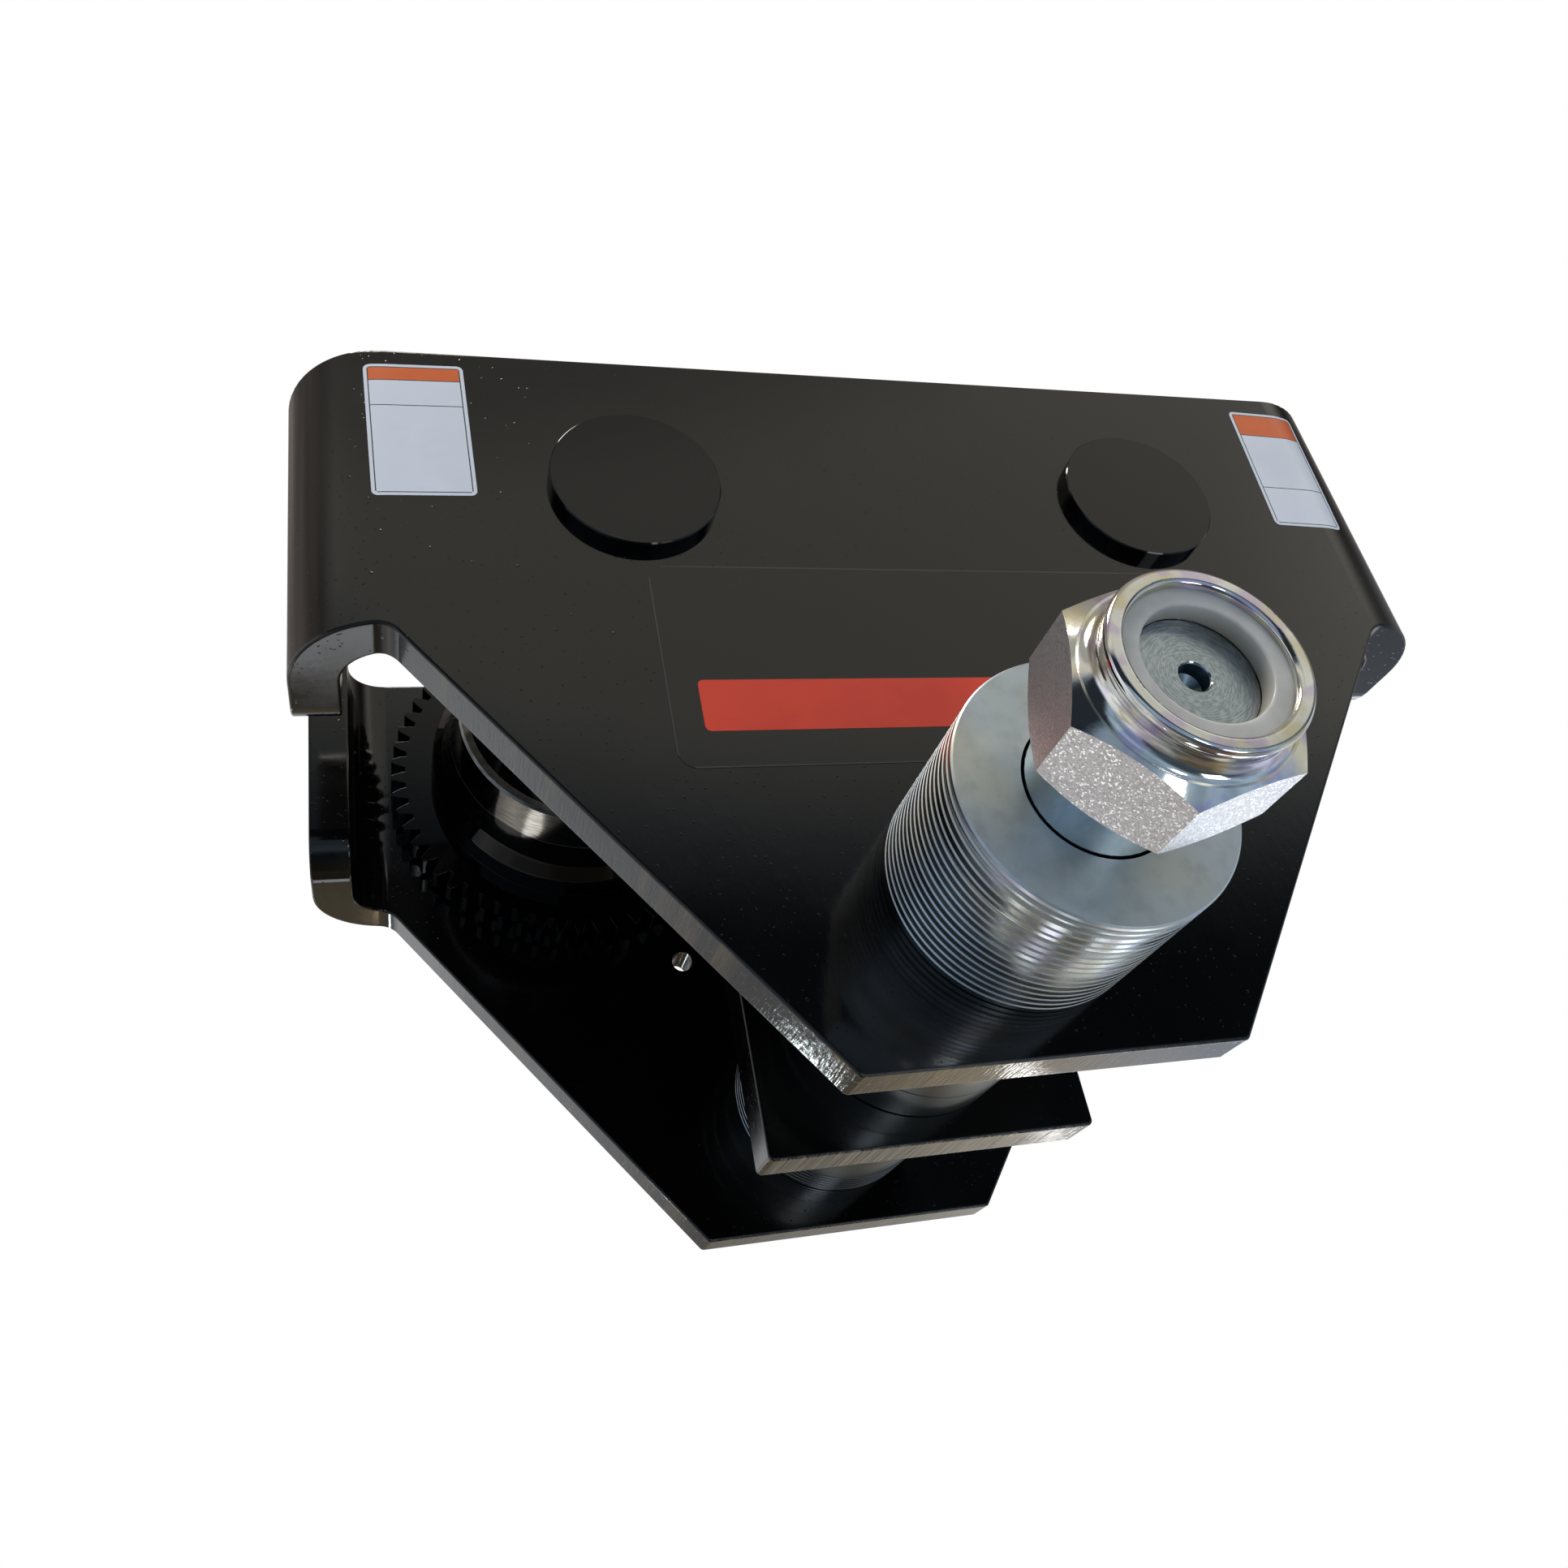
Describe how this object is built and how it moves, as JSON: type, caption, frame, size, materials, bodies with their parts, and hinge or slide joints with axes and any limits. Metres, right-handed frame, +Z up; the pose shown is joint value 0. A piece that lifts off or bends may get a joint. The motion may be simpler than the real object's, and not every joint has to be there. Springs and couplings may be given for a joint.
{
  "type": "beam trolley",
  "caption": "Push trolley for an overhead beam: bent side plates on a hanger shaft, flanged wheels, spacer washers, lock nuts and a swinging hanger plate with a load eye.",
  "frame": {"origin": "on the ground under the middle of the trolley, at the level of the side plates' lower edges", "axes": "+X along the beam, +Y across it from the front plate to the rear plate, +Z up"},
  "size_m": [0.392, 0.422, 0.2713],
  "materials": {
    "black_paint": "glossy black paint",
    "zinc_plate": "bright zinc plating",
    "shaft_steel": "turned steel",
    "axle_steel": "steel, head painted black with the plate",
    "wheel_iron": "black paint, tread turned bare",
    "bearing_steel": "ground steel",
    "spring_steel": "blackened spring steel",
    "nylon": "natural nylon",
    "vinyl_film": "printed vinyl film, left blank"
  },
  "bodies": {
    "shaft": {"hanger_shaft": "shaft_steel", "front_lock_nut": "zinc_plate", "front_nylon_insert": "nylon", "front_inner_spacers": "zinc_plate", "front_inner_washers": "zinc_plate", "rear_lock_nut": "zinc_plate", "rear_nylon_insert": "nylon", "rear_inner_spacers": "zinc_plate", "rear_inner_washers": "zinc_plate"},
    "hanger": {"hanger_plate": "black_paint"},
    "front_side": {"front_side_plate": "black_paint", "front_outer_washers": "zinc_plate", "front_left_axle": "axle_steel", "front_left_axle_spacer": "zinc_plate", "front_left_bearing_inner_rings": "bearing_steel", "front_left_bearing_sleeve": "zinc_plate", "front_left_axle_circlip": "spring_steel", "front_right_axle": "axle_steel", "front_right_axle_spacer": "zinc_plate", "front_right_bearing_inner_rings": "bearing_steel", "front_right_bearing_sleeve": "zinc_plate", "front_right_axle_circlip": "spring_steel"},
    "rear_side": {"rear_side_plate": "black_paint", "rear_outer_washers": "zinc_plate", "rear_left_axle": "axle_steel", "rear_left_axle_spacer": "zinc_plate", "rear_left_bearing_inner_rings": "bearing_steel", "rear_left_bearing_sleeve": "zinc_plate", "rear_left_axle_circlip": "spring_steel", "rear_right_axle": "axle_steel", "rear_right_axle_spacer": "zinc_plate", "rear_right_bearing_inner_rings": "bearing_steel", "rear_right_bearing_sleeve": "zinc_plate", "rear_right_axle_circlip": "spring_steel"},
    "front_left_wheel": {"front_left_wheel": "wheel_iron", "front_left_bearing_outer_rings": "bearing_steel", "front_left_wheel_circlip": "spring_steel"},
    "front_right_wheel": {"front_right_wheel": "wheel_iron", "front_right_bearing_outer_rings": "bearing_steel", "front_right_wheel_circlip": "spring_steel"},
    "rear_left_wheel": {"rear_left_wheel": "wheel_iron", "rear_left_bearing_outer_rings": "bearing_steel", "rear_left_wheel_circlip": "spring_steel"},
    "rear_right_wheel": {"rear_right_wheel": "wheel_iron", "rear_right_bearing_outer_rings": "bearing_steel", "rear_right_wheel_circlip": "spring_steel"}
  },
  "joints": [
    {"name": "hanger_swing", "type": "hinge", "parent": "shaft", "child": "hanger", "pos_m": [0, 0, 0.051], "axis": [0, 1, 0], "continuous": true},
    {"name": "front_side_slide", "type": "slide", "parent": "shaft", "child": "front_side", "axis": [0, -1, 0], "range_m": [0, 0.02]},
    {"name": "rear_side_slide", "type": "slide", "parent": "shaft", "child": "rear_side", "axis": [0, 1, 0], "range_m": [0, 0.02]},
    {"name": "front_left_wheel_spin", "type": "hinge", "parent": "front_side", "child": "front_left_wheel", "pos_m": [-0.09, 0, 0.1964], "axis": [0, 1, 0], "continuous": true},
    {"name": "front_right_wheel_spin", "type": "hinge", "parent": "front_side", "child": "front_right_wheel", "pos_m": [0.09, 0, 0.1964], "axis": [0, 1, 0], "continuous": true},
    {"name": "rear_left_wheel_spin", "type": "hinge", "parent": "rear_side", "child": "rear_left_wheel", "pos_m": [-0.09, 0, 0.1964], "axis": [0, 1, 0], "continuous": true},
    {"name": "rear_right_wheel_spin", "type": "hinge", "parent": "rear_side", "child": "rear_right_wheel", "pos_m": [0.09, 0, 0.1964], "axis": [0, 1, 0], "continuous": true}
  ]
}
